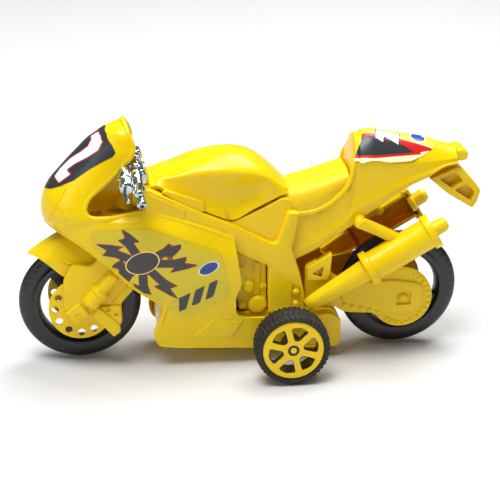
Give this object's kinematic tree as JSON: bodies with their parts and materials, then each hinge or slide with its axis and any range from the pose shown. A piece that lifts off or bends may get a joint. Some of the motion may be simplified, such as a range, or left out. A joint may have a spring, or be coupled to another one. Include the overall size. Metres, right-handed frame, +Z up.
{
  "type": "toy motorcycle",
  "caption": "Moulded-plastic pull-back sport motorcycle toy with spoked wheels, two side drive wheels, turning fork and a wind-up gear train in the belly.",
  "frame": {"origin": "centre of the toy's overall length and width, on the surface it stands on", "axes": "-X the way the toy faces, +Y its right-hand side, +Z up"},
  "size_m": [0.1554, 0.0628, 0.0843],
  "materials": {
    "yellow_plastic": "glossy injection-moulded",
    "black_plastic": "satin black",
    "rubber": "matt black",
    "plated_plastic": "vacuum-plated bright chrome on plastic",
    "steel": "bright drawn steel",
    "nylon": "natural moulded"
  },
  "bodies": {
    "body": {"fairing": "yellow_plastic", "fuel_tank": "yellow_plastic", "seat": "yellow_plastic", "tail_cowl": "yellow_plastic", "tail_lamp": "yellow_plastic", "frame_left": "yellow_plastic", "frame_right": "yellow_plastic", "engine_left": "yellow_plastic", "engine_right": "yellow_plastic", "swingarm_left": "yellow_plastic", "swingarm_right": "yellow_plastic", "exhaust_left": "yellow_plastic", "exhaust_right": "yellow_plastic", "rear_mudguard": "yellow_plastic", "headstock": "yellow_plastic", "screw_front": "steel", "screw_rear": "steel", "screw_top": "steel", "motor_plate_left": "steel", "motor_plate_right": "steel", "idler_pin": "steel", "barrel_arbor": "steel", "rear_axle": "steel"},
    "steering": {"fork_left": "yellow_plastic", "fork_right": "yellow_plastic", "brake_disc_left": "yellow_plastic", "brake_disc_right": "yellow_plastic", "fork_crown": "yellow_plastic", "handlebar": "plated_plastic", "front_fender": "yellow_plastic", "front_axle": "steel"},
    "front_wheel": {"front_rim": "black_plastic", "front_tyre": "rubber"},
    "rear_wheel": {"rear_rim": "black_plastic", "rear_tyre": "rubber"},
    "drive": {"drive_axle": "steel", "axle_pinion": "nylon", "drive_hub_left": "yellow_plastic", "drive_hub_right": "yellow_plastic", "drive_tyre_left": "rubber", "drive_tyre_right": "rubber"},
    "idler": {"idler_gear": "nylon"},
    "barrel": {"barrel_gear": "nylon", "mainspring": "steel"}
  },
  "joints": [
    {"name": "steering_turn", "type": "hinge", "parent": "body", "child": "steering", "pos_m": [-0.03938, 0, 0.06], "axis": [0.342, 0, 0.9397], "range_deg": [-8, 8]},
    {"name": "front_wheel_spin", "type": "hinge", "parent": "steering", "child": "front_wheel", "pos_m": [-0.05727, 0, 0.02045], "axis": [0, 1, 0], "continuous": true},
    {"name": "rear_wheel_spin", "type": "hinge", "parent": "body", "child": "rear_wheel", "pos_m": [0.05173, 0, 0.02045], "axis": [0, 1, 0], "continuous": true},
    {"name": "drive_spin", "type": "hinge", "parent": "body", "child": "drive", "pos_m": [0.01063, 0, 0.0125], "axis": [0, 1, 0], "continuous": true},
    {"name": "idler_spin", "type": "hinge", "parent": "body", "child": "idler", "pos_m": [0.00373, 0, 0.01828], "axis": [0, 1, 0], "continuous": true},
    {"name": "barrel_spin", "type": "hinge", "parent": "body", "child": "barrel", "pos_m": [-0.00627, 0, 0.01828], "axis": [0, 1, 0], "continuous": true}
  ],
  "couplings": [
    {"joint": "idler_spin", "follows": "drive_spin", "ratio": -0.5},
    {"joint": "barrel_spin", "follows": "drive_spin", "ratio": 0.16667}
  ]
}
